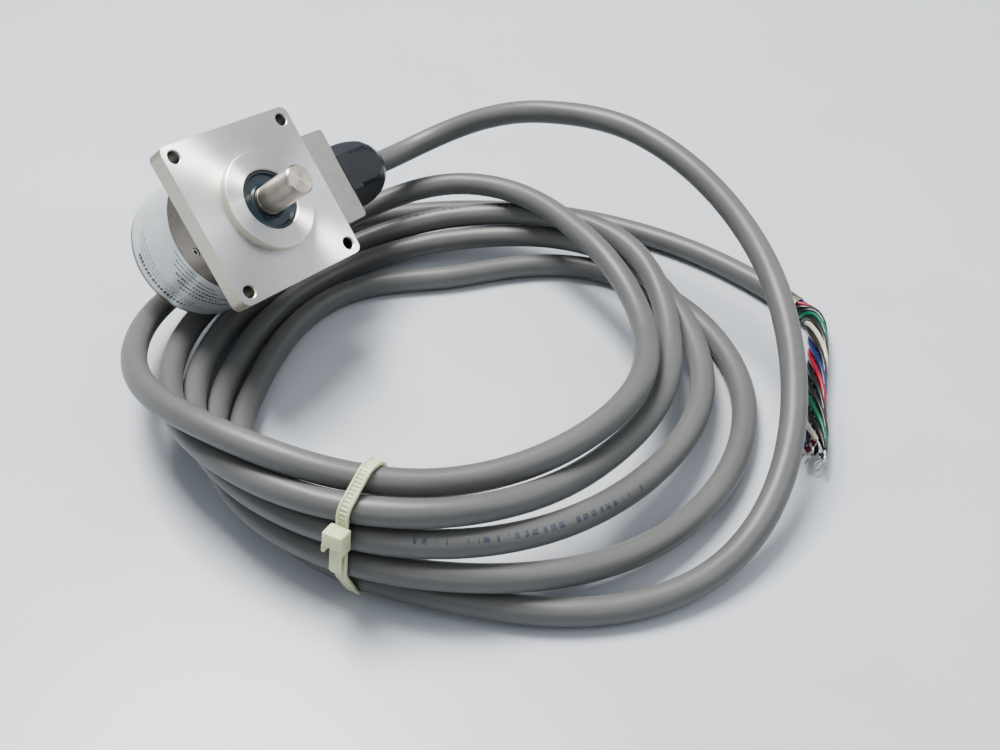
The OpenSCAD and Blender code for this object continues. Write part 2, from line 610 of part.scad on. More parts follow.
// Reach and height of strand k where it crosses there
function tie_cross(k, off) =
  let(place = coil_at(tie_step(4.33 + 8*k, off, 4))) [(place - tie_mid)*tie_dir, place[2]];
tie_pts = [for (k = [0:4]) tie_cross(k, 0)];
tie_lean = atan2(tie_pts[1][0] - tie_pts[3][0], tie_pts[3][1] - tie_pts[1][1]);
tie_inner_r = cable_r + tie_gap;
head_drop = 5.4; // head below strand 3

// Tie frame: x outward, y up, z across the strap
module tie_plane()
  translate(tie_mid) rotate([0, 0, 90 - tie_angle]) rotate([90, 0, 0]) children();
module tie_loop(radius) hull()
  for (k = [0:4]) for (e = [-0.6, 0.6]) translate(tie_cross(k, e*tie_w)) circle(radius, $fn = 28);
module cable_tie() color([0.88, 0.89, 0.78]) tie_plane() {
  translate([0, 0, -tie_w/2]) linear_extrude(tie_w) difference() {
    tie_loop(tie_inner_r + tie_t);
    tie_loop(tie_inner_r);
  }
  translate(concat(tie_pts[3] + [head_drop*tan(tie_lean), -head_drop], 0))
    rotate([0, 0, tie_lean]) {
      // Head with its slot, then the strap's loose end
      difference() {
        translate([tie_inner_r + 1.2, -3.2, -3.1]) cube([4.9, 6.8, 6.2]);
        translate([tie_inner_r + 2.6, -5, -tie_w/2 - 0.15]) cube([1.4, 4.6, tie_w + 0.3]);
      }
      translate([tie_inner_r + 2.75, -10.5, -tie_w/2]) cube([1.1, 10.6, tie_w]);
    }
}

// ---------- draw ----------
function on(name) = node == "all" || node == name;
if (on("flange_housing")) flange_housing();
if (on("shaft")) shaft();
if (on("shaft_seal")) shaft_seal();
if (on("front_outer_race")) front_outer_race();
if (on("front_inner_race")) front_inner_race();
if (on("front_balls")) front_balls();
if (on("front_cage")) front_cage();
if (on("front_shield")) front_shield();
if (on("rear_outer_race")) rear_outer_race();
if (on("rear_inner_race")) rear_inner_race();
if (on("rear_balls")) rear_balls();
if (on("rear_cage")) rear_cage();
if (on("rear_shield")) rear_shield();
if (on("race_spacer")) race_spacer();
if (on("inner_spacer")) inner_spacer();
if (on("preload_spring")) preload_spring();
if (on("housing_circlip")) housing_circlip();
if (on("shaft_clip")) shaft_clip();
if (on("disc_hub")) disc_hub();
if (on("hub_screws")) hub_screws();
if (on("code_disc")) code_disc();
if (on("disc_nut")) disc_nut();
if (on("emitter_holder")) emitter_holder();
if (on("emitter")) emitter();
if (on("emitter_leads")) emitter_leads();
if (on("light_sensor")) light_sensor();
if (on("reticle_holder")) reticle_holder();
if (on("reticle")) reticle();
if (on("circuit_board")) circuit_board();
if (on("board_parts")) board_parts();
if (on("board_posts")) board_posts();
if (on("board_screws")) board_screws();
if (on("board_connector")) board_connector();
if (on("inner_leads")) inner_leads();
if (on("rear_cover")) rear_cover();
if (on("cover_screws")) cover_screws();
if (on("data_label")) data_label();
if (on("cable_block")) cable_block();
if (on("block_gasket")) block_gasket();
if (on("block_screws")) block_screws();
if (on("gland_body")) gland_body();
if (on("gland_grommet")) gland_grommet();
if (on("gland_nut")) gland_nut();
if (on("cable_jacket")) cable_jacket();
if (on("shield_end")) shield_end();
if (on("core_red")) core_red();
if (on("core_white")) core_white();
if (on("core_green")) core_green();
if (on("core_blue")) core_blue();
if (on("cores_black")) cores_black();
if (on("core_tips")) core_tips();
if (on("cable_tie")) cable_tie();
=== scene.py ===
# A flanged shaft encoder with its coiled cable, cable tie and eight bared cores, on a pale floor.
# The row frame is in metres with +Z up. The encoder's own frame starts at the flange bolts mount,
# with its z axis along the shaft; everything behind the flange face has negative z there.
import json
import math
from functools import cached_property

import bmesh
import bpy
import numpy as np
from mathutils import Matrix, Vector


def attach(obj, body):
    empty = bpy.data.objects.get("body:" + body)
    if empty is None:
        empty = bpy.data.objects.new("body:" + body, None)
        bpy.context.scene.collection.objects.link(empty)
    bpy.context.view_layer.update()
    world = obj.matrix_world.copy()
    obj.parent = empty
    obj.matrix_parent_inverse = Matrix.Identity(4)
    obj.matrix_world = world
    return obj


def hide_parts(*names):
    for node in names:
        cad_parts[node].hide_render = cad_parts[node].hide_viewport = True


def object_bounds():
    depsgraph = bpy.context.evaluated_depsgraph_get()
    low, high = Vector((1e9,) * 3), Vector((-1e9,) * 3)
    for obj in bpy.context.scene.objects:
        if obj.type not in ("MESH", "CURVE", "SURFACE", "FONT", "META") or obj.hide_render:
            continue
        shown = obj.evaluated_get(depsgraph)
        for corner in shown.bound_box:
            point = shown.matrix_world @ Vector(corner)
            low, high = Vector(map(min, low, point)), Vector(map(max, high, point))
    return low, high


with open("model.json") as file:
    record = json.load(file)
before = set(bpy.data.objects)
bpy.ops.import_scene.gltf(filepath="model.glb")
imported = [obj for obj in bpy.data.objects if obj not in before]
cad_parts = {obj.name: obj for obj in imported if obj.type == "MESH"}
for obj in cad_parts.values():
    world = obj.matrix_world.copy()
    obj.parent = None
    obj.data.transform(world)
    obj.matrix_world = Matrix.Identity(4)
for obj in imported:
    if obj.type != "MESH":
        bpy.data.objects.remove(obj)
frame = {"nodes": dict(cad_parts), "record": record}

cad_lo, cad_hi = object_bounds()
scene = bpy.context.scene
nodes = frame["nodes"]

TURN = 2 * math.pi
CAMERA_AT = np.array([3.9, -282.4, 253.0])     # mm, row frame
CABLE_R = 4.0                                  # mm

# ------------------------------------------------------------------ the encoder's own frame
mounts = {mount["name"]: mount for mount in frame["record"]["mounts"]}
FACE = Vector(mounts["flange_bolts"]["pos_m"])
SHAFT = Vector(mounts["flange_bolts"]["axis"]).normalized()
# seen along the shaft, the flange_face mount lies in the direction (20, 5) of this frame
to_flat = Vector(mounts["flange_face"]["pos_m"]) - FACE
to_flat -= SHAFT * to_flat.dot(SHAFT)
X_AXIS = Matrix.Rotation(-math.atan2(5, 20), 3, SHAFT) @ to_flat.normalized()
TO_ROW = Matrix((X_AXIS, SHAFT.cross(X_AXIS), SHAFT)).transposed()
TO_ROW_EULER = TO_ROW.to_euler("XYZ")


def row_point(x, y, z):
    """A point of the encoder's own frame as a point of the row frame, both in mm."""
    return np.array(FACE + TO_ROW @ (Vector((x, y, z)) * 0.001)) * 1000


# ------------------------------------------------------------------ shader networks
def math_operator(operation, swapped=False):
    def method(self, other):
        pair = (other, self) if swapped else (self, other)
        return self.net.math(operation, *pair)
    return method


class Value:
    """A node output; arithmetic on it adds Math nodes."""
    def __init__(self, net, socket):
        self.net, self.socket = net, socket

    def sibling(self, index):
        return Value(self.net, self.socket.node.outputs[index])

    def __abs__(self):
        return self.net.math("ABSOLUTE", self)

    __add__ = math_operator("ADD")
    __radd__ = math_operator("ADD", swapped=True)
    __sub__ = math_operator("SUBTRACT")
    __rsub__ = math_operator("SUBTRACT", swapped=True)
    __mul__ = math_operator("MULTIPLY")
    __lt__ = math_operator("LESS_THAN")
    __gt__ = math_operator("GREATER_THAN")


class Net:
    """A material and the nodes that feed its Principled shader."""
    def __init__(self, name):
        self.material = bpy.data.materials.new(name)
        self.material.use_nodes = True
        self.tree = self.material.node_tree

    def put(self, socket, value):
        if isinstance(value, Value):
            self.tree.links.new(value.socket, socket)
        elif value is not None:
            if isinstance(value, tuple) and socket.type == "RGBA":
                value = (*value, 1)
            socket.default_value = value

    def node(self, kind, inputs=(), output=0, **props):
        """Adds a node, fills its inputs by index or name and gives one of its outputs."""
        node = self.tree.nodes.new("ShaderNode" + kind)
        for key, value in props.items():
            setattr(node, key, value)
        for key, value in dict(inputs).items():
            self.put(node.inputs[key], value)
        return Value(self, node.outputs[output])

    def finish(self, **inputs):
        """Fills the shader's inputs, named with _ for each space."""
        shader = self.tree.nodes["Principled BSDF"]
        for key, value in inputs.items():
            self.put(shader.inputs[key.replace("_", " ")], value)
        return self.material

    @cached_property
    def row(self):
        """The row frame, in metres."""
        return self.node("TexCoord", output="Object")

    @cached_property
    def local(self):
        """The encoder's own frame, in metres."""
        return self.node("Mapping", {"Vector": self.row, "Location": FACE,
                                     "Rotation": TO_ROW_EULER}, vector_type="TEXTURE")

    @cached_property
    def along(self):
        """Metres along a tube, and turns round it."""
        return self.xyz(self.node("UVMap", output="UV", uv_map="along"))[:2]

    def xyz(self, vector):
        first = self.node("SeparateXYZ", {0: vector})
        return [first.sibling(index) for index in range(3)]

    def vec(self, x, y, z):
        return self.node("CombineXYZ", {0: x, 1: y, 2: z})

    def tube_vec(self, per_metre, per_turn, z=0.0):
        length, turn = self.along
        return self.vec(length * per_metre, turn * per_turn, z)

    def math(self, operation, *values):
        return self.node("Math", enumerate(values), operation=operation)

    def vector_math(self, operation, *vectors):
        output = "Value" if operation in ("LENGTH", "DOT_PRODUCT") else 0
        return self.node("VectorMath", enumerate(vectors), output, operation=operation)

    def remap(self, value, low, high, to=(0.0, 1.0), curve="LINEAR"):
        return self.node("MapRange", enumerate((value, low, high, *to)),
                         clamp=True, interpolation_type=curve)

    def noise(self, vector, scale, detail=3.0, rough=0.55):
        return self.node("TexNoise", {"Vector": vector, "Scale": scale, "Detail": detail,
                                      "Roughness": rough})

    def random(self, seed):
        return self.node("TexWhiteNoise", {"W": seed}, noise_dimensions="1D")

    def stretch(self, vector, scale, rotation=(0, 0, 0)):
        return self.node("Mapping", {"Vector": vector, "Scale": scale, "Rotation": rotation})

    def mix(self, mask, base, colour):
        return self.node("Mix", {0: mask, 6: base, 7: colour}, output=2, data_type="RGBA")

    def mottle(self, noise, dark, light, low=0.3, high=0.7):
        return self.mix(self.remap(noise, low, high), dark, light)

    def tint(self, base, mask, colour, strength):
        return self.mix(mask * strength, base, colour)

    def bump(self, height, strength, dist, normal=None):
        return self.node("Bump", {"Strength": strength, "Distance": dist, "Height": height,
                                  "Normal": normal})

    def bevel(self, radius):
        return self.node("Bevel", {"Radius": radius}, samples=4)

    def normal(self):
        return self.node("NewGeometry", output="Normal")

    def edge(self, radius):
        """1 on sharp edges, 0 on flat stretches: where handling wears a finish."""
        bend = self.vector_math("DOT_PRODUCT", self.bevel(radius), self.normal())
        return self.remap(bend, low=0.995, high=0.86)

    def turned_tangent(self):
        """World-space direction across the tool marks of a surface turned about the shaft."""
        x, y, _ = self.xyz(self.local)
        around = self.vector_math("NORMALIZE", self.vec(y * -1.0, x, 0.0))
        turned = self.node("VectorRotate", {"Vector": around, "Rotation": TO_ROW_EULER},
                           rotation_type="EULER_XYZ")
        world = self.node("VectorTransform", {0: turned}, vector_type="VECTOR",
                          convert_from="OBJECT", convert_to="WORLD")
        # gloss spreads across the marks, not along them
        return self.vector_math("CROSS_PRODUCT", self.normal(), world)

    def facing(self):
        """1 where the surface looks along the shaft, 0 where it looks sideways."""
        normal = self.node("VectorTransform", {0: self.normal()}, vector_type="NORMAL",
                           convert_from="WORLD", convert_to="OBJECT")
        return abs(self.vector_math("DOT_PRODUCT", normal, tuple(SHAFT)))

    def hypot(self, x, y):
        return self.math("SQRT", x * x + y * y)

    def radius(self):
        """Distance from the shaft axis, in metres."""
        x, y, _ = self.xyz(self.local)
        return self.hypot(x, y)


def scaled(colour, gain):
    return tuple(part * gain for part in colour)


def lighten(colour, gain, lift):
    return tuple(min(1.0, part * gain + lift) for part in colour)


# ------------------------------------------------------------------ materials
def machined_face():
    """Turned aluminium faces, milled sides, painted shade and reflection on the housing behind
    the flange, and painted shade inside the bolt holes.
    """
    hole_offset = 0.022225      # m, of each bolt hole from the shaft axis in x and in y
    net = Net("machined_aluminium")
    radius = net.radius()
    x, y, z = net.xyz(net.local)
    facing = net.remap(net.facing(), low=0.7, high=0.93, curve="SMOOTHSTEP")
    # rings change fast with the radius (times 1) and slowly along the shaft (times 0.2)
    rings = net.noise(net.vec(radius * 1.0, 0.0, z * 0.2), scale=5200, detail=2.0)
    broad = net.noise(net.vec(radius, 0.0, 0.0), scale=420, detail=2.0)
    cloud = net.noise(net.local, scale=60, detail=4.0, rough=0.6)
    mill = net.noise(net.stretch(net.local, scale=(1, 1, 14)), scale=700)
    scratch = net.noise(net.stretch(net.local, scale=(1, 11, 1), rotation=(0, 0, 0.6)),
                        scale=420, detail=2.0)

    face = net.mottle(rings, dark=(0.88, 0.88, 0.875), light=(0.98, 0.98, 0.975))
    face = net.tint(face, net.remap(cloud, low=0.45, high=0.7), (0.66, 0.66, 0.66), strength=0.25)
    side = net.mottle(mill, dark=(0.60, 0.57, 0.49), light=(0.74, 0.71, 0.62))
    # painted shade and reflection: sides behind the flange's back face are darkened to
    # brown-grey, in place of reflected surroundings and shadow on the bare metal
    side = net.mix(net.remap(z, low=-0.00645, high=-0.0070), side, (0.36, 0.34, 0.31))
    colour = net.mix(facing, side, face)
    # painted shade: the inside walls of the bolt holes are darkened below the face, in place of
    # their shadow
    hole = net.hypot(abs(x) - hole_offset, abs(y) - hole_offset)
    hole = (net.remap(hole, low=0.00206, high=0.00202)
            * net.remap(z, low=-0.0004, high=-0.0012))
    colour = net.mix(hole, colour, (0.16, 0.15, 0.13))
    colour = net.tint(colour, net.remap(scratch, low=0.70, high=0.76), (0.95, 0.95, 0.95),
                      strength=0.25)
    # faces are rougher than sides, broad rings vary them and edges are polished
    rough = facing * 0.06 + 0.44 + broad * 0.06 - net.edge(radius=0.0004) * 0.10
    height = rings * facing + mill * 0.35
    return net.finish(
        Base_Color=colour, Metallic=1.0, Roughness=rough, Anisotropic=facing * 0.94,
        Tangent=net.turned_tangent(),
        Normal=net.bump(height, strength=0.10, dist=0.00006, normal=net.bevel(0.00022)))


def ground_steel(name, colour, rough=0.26, marks=1.0, aniso=0.6, bump=0.08):
    """A shaft or a race: fine marks round the axis, arcs of tool chatter on the ends."""
    chatter_centre = (0.0012, -0.0007, 0.0)     # m, a little off the axis
    net = Net(name)
    radius = net.radius()
    z = net.xyz(net.local)[2]
    facing = net.remap(net.facing(), low=0.7, high=0.93)
    # marks change fast along the shaft and slower (times 0.3) with the radius
    turned = net.noise(net.vec(z, radius * 0.3, 0.0), scale=5200)
    reach = net.vector_math("LENGTH", net.vector_math("SUBTRACT", net.local, chatter_centre))
    ends = net.noise(net.vec(reach * 1.0, 0.0, 0.0), scale=1900, detail=2.0)
    blot = net.noise(net.local, scale=160, detail=4.0, rough=0.6)

    finish = net.mottle(turned, dark=scaled(colour, 0.84), light=scaled(colour, 1.12))
    finish = net.tint(finish, net.remap(blot, low=0.5, high=0.75), scaled(colour, 0.55),
                      strength=0.22 * marks)
    finish = net.mix(facing * net.remap(ends, low=0.35, high=0.7), finish, scaled(colour, 1.2))
    return net.finish(
        Base_Color=finish, Metallic=1.0, Roughness=(rough - 0.05) + blot * 0.13,
        Anisotropic=aniso, Tangent=net.turned_tangent(),
        Normal=net.bump(net.mix(facing, turned, ends), strength=bump, dist=0.00006,
                        normal=net.bevel(0.00018)))


def metal(name, colour, rough=0.35, grain=900.0, worn=0.35, stretch=(1, 1, 1), metallic=1.0,
          dark=None):
    """A plated, blasted or oiled metal: grain, darker stains and bright worn edges."""
    net = Net(name)
    fine = net.noise(net.stretch(net.local, stretch), scale=grain)
    broad = net.noise(net.local, scale=grain / 11, detail=4.0, rough=0.62)
    finish = net.mottle(fine, dark=scaled(colour, 0.86), light=scaled(colour, 1.10))
    finish = net.tint(finish, net.remap(broad, low=0.48, high=0.75),
                      dark or scaled(colour, 0.55), strength=0.45)
    wear = net.edge(radius=0.0003) * worn
    finish = net.mix(wear, finish, lighten(colour, gain=1.5, lift=0.1))
    return net.finish(
        Base_Color=finish, Metallic=metallic, Roughness=rough - wear * 0.15 + broad * 0.12,
        Normal=net.bump(fine, strength=0.12, dist=0.00008, normal=net.bevel(0.0002)))


def plastic(name, colour, rough=0.42, grain=1400.0, bump=0.12, spots=0.3, coat=0.0, **more):
    """A moulded plastic or rubber: fine texture, faint clouds and rubbed, lighter edges."""
    net = Net(name)
    fine = net.noise(net.row, scale=grain)
    broad = net.noise(net.row, scale=grain / 14, detail=4.0, rough=0.6)
    finish = net.mottle(broad, dark=scaled(colour, 1 - 0.3 * spots),
                        light=lighten(colour, gain=1 + 0.35 * spots, lift=0.004))
    finish = net.tint(finish, net.edge(radius=0.0003), lighten(colour, gain=1.3, lift=0.06),
                      strength=0.16)
    return net.finish(
        Base_Color=finish, Roughness=(rough - 0.05) + broad * 0.12, Coat_Weight=coat,
        Normal=net.bump(fine, strength=bump, dist=0.00008, normal=net.bevel(0.0002)), **more)


def insulation(name, colour):
    """Extruded wire insulation: glossy, with faint draw lines and a rubbed haze."""
    net = Net(name)
    lines = net.noise(net.tube_vec(per_metre=30.0, per_turn=60.0), scale=1.0, detail=2.0)
    haze = net.noise(net.row, scale=260)
    finish = net.mottle(haze, dark=scaled(colour, 0.85),
                        light=lighten(colour, gain=1.12, lift=0.01), low=0.35, high=0.75)
    return net.finish(
        Base_Color=finish, Roughness=0.24 + haze * 0.16, Specular_IOR_Level=0.55,
        Coat_Weight=0.25, Coat_Roughness=0.15,
        Normal=net.bump(lines, strength=0.15, dist=0.00006))


def jacket(print_at, print_turn):
    """Satin grey vinyl: draw lines, scuffs, grime and a faint row of printed dashes.
    The row passes through print_turn (turns round the section) at print_at metres."""
    base = (0.134, 0.136, 0.133)
    core_lay = 0.034            # m, length of a turn of the twist that shows through
    drift = 0.45                # turns the printed row wanders round the cable per metre
    dash = 0.0026               # m, pitch of the printed dashes
    repeat, printed = 0.30, 0.24    # m between stretches of print, and the share printed
    net = Net("cable_vinyl")
    length, turn = net.along
    draw = net.noise(net.tube_vec(per_metre=40.0, per_turn=90.0), scale=1.0)
    patch = net.noise(net.row, scale=24, detail=4.0, rough=0.6)
    fine = net.noise(net.row, scale=1500)
    lump = net.noise(net.tube_vec(per_metre=55.0, per_turn=4.0), scale=1.0, detail=2.0)
    twist = net.math("SINE", length * (TURN / core_lay) + turn * (TURN * 4))
    scuff = net.noise(net.tube_vec(per_metre=38.0, per_turn=26.0), scale=1.0, detail=4.0,
                      rough=0.7)
    scuff = net.remap(scuff, low=0.66, high=0.74)
    kink = net.noise(net.tube_vec(per_metre=21.0, per_turn=1.3, z=3.0), scale=1.0, detail=2.0)

    colour = net.mottle(patch, dark=scaled(base, 0.90), light=scaled(base, 1.10))
    colour = net.tint(colour, net.remap(draw, low=0.4, high=0.7), scaled(base, 0.86),
                      strength=0.25)
    colour = net.tint(colour, scuff, (0.235, 0.237, 0.232), strength=0.30)

    # short bars of uneven length, faded in places
    row_turn = turn + length * drift + (2.5 - print_turn - drift * print_at)
    across = abs(net.math("FRACT", row_turn) - 0.5)
    row = net.remap(across, low=0.036, high=0.032)
    cell = net.math("FRACT", length * (1 / dash))
    uneven = net.random(net.math("FLOOR", length * (1 / dash)))
    bar = cell < net.remap(uneven, low=0.2, high=1.0) * 0.72
    phase = net.math("FRACT", length * (1 / repeat) + (10.12 - print_at / repeat))
    fade = net.remap(fine, low=0.25, high=0.55)
    ink = row * bar * ((phase < printed) * fade)
    colour = net.tint(colour, ink, (0.022, 0.030, 0.075), strength=0.7)

    height = (lump * 1.1 + kink * 1.8) + (twist * 0.10 + (fine * 0.06 + draw * 0.05))
    return net.finish(
        Base_Color=colour, Roughness=0.37 + (patch * 0.10 + scuff * 0.10),
        Specular_IOR_Level=0.5, Sheen_Weight=0.05,
        Normal=net.bump(height, strength=0.42, dist=0.0004))


# z centre mm, half height mm, start degrees, end degrees, cell degrees, seed
LABEL_ROWS = [
    (-40.4, 0.85, 166, 222, 3.3, 3), (-38.4, 0.22, 158, 236, 2.1, 13),
    (-36.9, 0.22, 150, 226, 2.6, 11), (-35.5, 0.22, 150, 214, 3.4, 5),
    (-32.6, 0.52, 205, 250, 2.9, 7), (-30.4, 0.52, 199, 240, 2.5, 2),
    (-28.2, 0.52, 194, 246, 2.9, 9), (-26.0, 0.42, 188, 232, 2.3, 4),
    (-24.0, 0.36, 186, 226, 2.1, 6), (-22.2, 0.26, 180, 206, 1.8, 8),
]


def label_film():
    """A silver-white film label with plain bars in place of print."""
    net = Net("label_film")
    x, y, z = net.xyz(net.local)
    around = net.math("ARCTAN2", y, x)
    degrees = net.math("FRACT", around * (1 / TURN) + 1.0) * 360.0
    z = z * 1000.0      # mm
    fibre = net.noise(net.local, scale=900)
    cloud = net.noise(net.local, scale=70, detail=4.0, rough=0.6)
    ink = None
    for centre, half, start, end, cell, seed in LABEL_ROWS:
        in_row = net.remap(abs(z - centre), low=half, high=half * 0.75)
        cells = degrees * (1 / cell)
        uneven = net.random(net.math("FLOOR", cells) + seed * 31.7)
        bar = net.math("FRACT", cells) < net.remap(uneven, low=0.0, high=1.0, to=(0.45, 0.92))
        span = (degrees > float(start)) * (degrees < float(end))
        bars = in_row * bar * span
        ink = bars if ink is None else net.math("MAXIMUM", ink, bars)
    colour = net.mottle(cloud, dark=(0.62, 0.66, 0.67), light=(0.72, 0.75, 0.76))
    colour = net.tint(colour, net.remap(fibre, low=0.4, high=0.7), (0.80, 0.83, 0.84),
                      strength=0.2)
    # worn along the end farthest from the flange
    colour = net.tint(colour, net.remap(z, low=-42.6, high=-43.2), (0.45, 0.45, 0.44),
                      strength=0.6)
    colour = net.tint(colour, ink, (0.02, 0.022, 0.03), strength=0.9)
    return net.finish(
        Base_Color=colour, Metallic=0.35, Roughness=0.30 + cloud * 0.14, Coat_Weight=0.3,
        Coat_Roughness=0.2, Normal=net.bump(fibre, strength=0.05, dist=0.00005))


def nylon():
    """Natural nylon: milky, slightly see-through and yellowed, with a moulded sheen."""
    net = Net("natural_nylon")
    fine = net.noise(net.row, scale=900)
    broad = net.noise(net.row, scale=120)
    return net.finish(
        Base_Color=net.mottle(broad, dark=(0.70, 0.74, 0.47), light=(0.82, 0.85, 0.60)),
        Roughness=0.30 + broad * 0.12, Subsurface_Weight=0.55,
        Subsurface_Radius=(0.0022, 0.0022, 0.0014), Subsurface_Scale=1.0,
        Transmission_Weight=0.22,
        Normal=net.bump(fine, strength=0.10, dist=0.00008, normal=net.bevel(0.00025)))


def glass_disc(name, track):
    """Dusty glass; track is 1 for a ring of dark slots and 0 for none."""
    slot_count, track_radius, track_half = 250, 15.9, 1.3     # radii in mm
    net = Net(name)
    x, y, _ = net.xyz(net.local)
    radius = net.radius() * 1000.0
    slots = net.math("FRACT", net.math("ARCTAN2", y, x) * (slot_count / TURN)) > 0.5
    mask = slots * (abs(radius - track_radius) < track_half) * float(track)
    dust = net.noise(net.local, scale=800)
    return net.finish(
        Base_Color=net.mix(mask, (0.78, 0.90, 0.92), (0.05, 0.05, 0.05)),
        Roughness=0.04 + dust * 0.08, Transmission_Weight=0.9 - mask * 0.9, IOR=1.5,
        Normal=net.bump(dust, strength=0.03, dist=0.00003))


def board():
    """Green board lacquer with a lighter grid of lines."""
    net = Net("board_mask")
    brick = net.node("TexBrick", {
        "Vector": net.local, "Scale": 260, "Mortar Size": 0.06, "Color1": (0.02, 0.13, 0.05),
        "Color2": (0.02, 0.10, 0.04), "Mortar": (0.05, 0.24, 0.09)})
    cloud = net.noise(net.local, scale=600)
    return net.finish(
        Base_Color=net.tint(brick, cloud, (0.03, 0.16, 0.06), strength=0.3),
        Roughness=0.2 + cloud * 0.15,
        Normal=net.bump(brick.sibling(1), strength=0.2, dist=0.00005))


MATERIALS = {
    "alu": machined_face(),
    "shaft": ground_steel("ground_shaft_steel", (0.56, 0.52, 0.46), rough=0.36, aniso=0.80,
                          bump=0.12),
    "front_race": ground_steel("stained_race_steel", (0.12, 0.16, 0.19), rough=0.36, marks=0.8,
                               aniso=0.5, bump=0.2),
    "race": ground_steel("bearing_steel", (0.62, 0.63, 0.64), rough=0.2, marks=0.5),
    "ball": metal("polished_ball_steel", (0.75, 0.76, 0.78), rough=0.06, worn=0.1),
    "brass": ground_steel("turned_brass", (0.80, 0.62, 0.30), marks=0.8),
    "shield": ground_steel("blued_shield", (0.075, 0.115, 0.15), rough=0.38, marks=0.8,
                           aniso=0.5, bump=0.25),
    "seal": plastic("seal_rubber", (0.022, 0.042, 0.058), rough=0.34, grain=900, bump=0.10,
                    spots=0.8, coat=0.25),
    "spring": metal("spring_steel", (0.36, 0.36, 0.37), rough=0.30, worn=0.4),
    "socket": metal("socket_screw_steel", (0.33, 0.32, 0.30), rough=0.28, worn=0.6),
    "black_screw": metal("black_oxide_screw", (0.055, 0.055, 0.06), rough=0.34, worn=0.5,
                         metallic=0.7),
    # painted reflection and shadow: the cover's dark brown-grey colour stands in for reflected
    # surroundings and shade on bare metal
    "cover": metal("cover_with_painted_reflection", (0.30, 0.275, 0.24), rough=0.36, grain=700, worn=0.5,
                   stretch=(1, 1, 5)),
    "block": metal("anodised_block", (0.44, 0.445, 0.42), rough=0.42, grain=2600, worn=0.4,
                   stretch=(1, 1, 0.2), metallic=0.9, dark=(0.34, 0.34, 0.32)),
    "gasket": plastic("gasket_rubber", (0.02, 0.02, 0.02), rough=0.6, grain=700, bump=0.3),
    "grommet": plastic("grommet_rubber", (0.03, 0.03, 0.032), rough=0.5, grain=700, bump=0.3),
    "gland": plastic("gland_nylon", (0.014, 0.016, 0.022), rough=0.33, grain=1100, bump=0.20,
                     spots=0.9, coat=0.08),
    "plastic": plastic("moulded_black", (0.02, 0.02, 0.022), rough=0.4),
    "chips": plastic("chip_epoxy", (0.03, 0.03, 0.032), rough=0.5, grain=1800, bump=0.2),
    "emitter": plastic("clear_emitter", (0.85, 0.82, 0.86), rough=0.08, grain=600, bump=0.02,
                       Transmission_Weight=0.8),
    "ivory": plastic("connector_nylon", (0.74, 0.71, 0.58), rough=0.4),
    "tin": metal("tinned_copper", (0.70, 0.70, 0.68), rough=0.22, grain=1600, worn=0.3),
    "braid": metal("braided_shield", (0.42, 0.40, 0.35), rough=0.36, grain=1600, worn=0.4),
    "disc": glass_disc("code_disc_glass", track=1),
    "reticle": glass_disc("reticle_glass", track=0),
    "board": board(),
    "label": label_film(),
    "nylon": nylon(),
    "red": insulation("red_insulation", (0.31, 0.010, 0.030)),
    "white": insulation("white_insulation", (0.56, 0.53, 0.41)),
    "green": insulation("green_insulation", (0.006, 0.130, 0.068)),
    "blue": insulation("blue_insulation", (0.010, 0.022, 0.115)),
    "black": insulation("black_insulation", (0.014, 0.014, 0.017)),
}
LOOKS = {       # material: the CAD pieces that wear it
    "alu": "flange_housing", "shaft": "shaft", "seal": "shaft_seal",
    "shield": "front_shield rear_shield", "front_race": "front_inner_race",
    "race": "front_outer_race rear_outer_race rear_inner_race race_spacer inner_spacer",
    "ball": "front_balls rear_balls",
    "brass": "front_cage rear_cage disc_hub disc_nut board_posts",
    "spring": "preload_spring housing_circlip shaft_clip",
    "black_screw": "hub_screws block_screws", "socket": "cover_screws board_screws",
    "disc": "code_disc", "reticle": "reticle",
    "plastic": "emitter_holder reticle_holder light_sensor", "chips": "board_parts",
    "emitter": "emitter", "tin": "emitter_leads", "board": "circuit_board",
    "ivory": "board_connector", "cover": "rear_cover", "label": "data_label",
    "block": "cable_block", "gasket": "block_gasket", "gland": "gland_body gland_nut",
    "grommet": "gland_grommet", "red": "inner_leads",
}
for look, pieces in LOOKS.items():
    for piece in pieces.split():
        slots = nodes[piece].data.materials
        slots.clear()
        slots.append(MATERIALS[look])


# ------------------------------------------------------------------ mesh helpers
def add_mesh(name, shape, material, slot):
    """Adds shape (verts in m, faces, a uv per vert) in place of the CAD piece named by slot."""
    verts, faces, uv = shape
    mesh = bpy.data.meshes.new(name)
    mesh.from_pydata([tuple(vert) for vert in verts], [], faces)
    mesh.materials.append(material)
    layer = mesh.uv_layers.new(name="along")
    corners = np.zeros(len(mesh.loops), np.int32)
    mesh.loops.foreach_get("vertex_index", corners)
    corner_uv = uv[corners]
    # keep the seam from running backwards inside one face
    for face in mesh.polygons:
        turns = corner_uv[face.loop_start:face.loop_start + face.loop_total, 1]
        if face.loop_total == 4 and turns.max() - turns.min() > 0.5:
            turns[turns < 0.5] += 1.0
    layer.data.foreach_set("uv", corner_uv.astype(np.float32).ravel())
    mesh.polygons.foreach_set("use_smooth", [True] * len(mesh.polygons))
    mesh.update()
    thing = bpy.data.objects.new(name, mesh)
    scene.collection.objects.link(thing)
    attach(thing, "housing")
    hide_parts(slot)
    return thing


def unit(vector):
    return vector / np.linalg.norm(vector)


def lengths_along(points):
    return np.concatenate([[0], np.cumsum(np.linalg.norm(np.diff(points, axis=0), axis=1))])


def unit_tangents(points):
    tangent = np.gradient(points, axis=0)
    return tangent / np.linalg.norm(tangent, axis=1)[:, None]


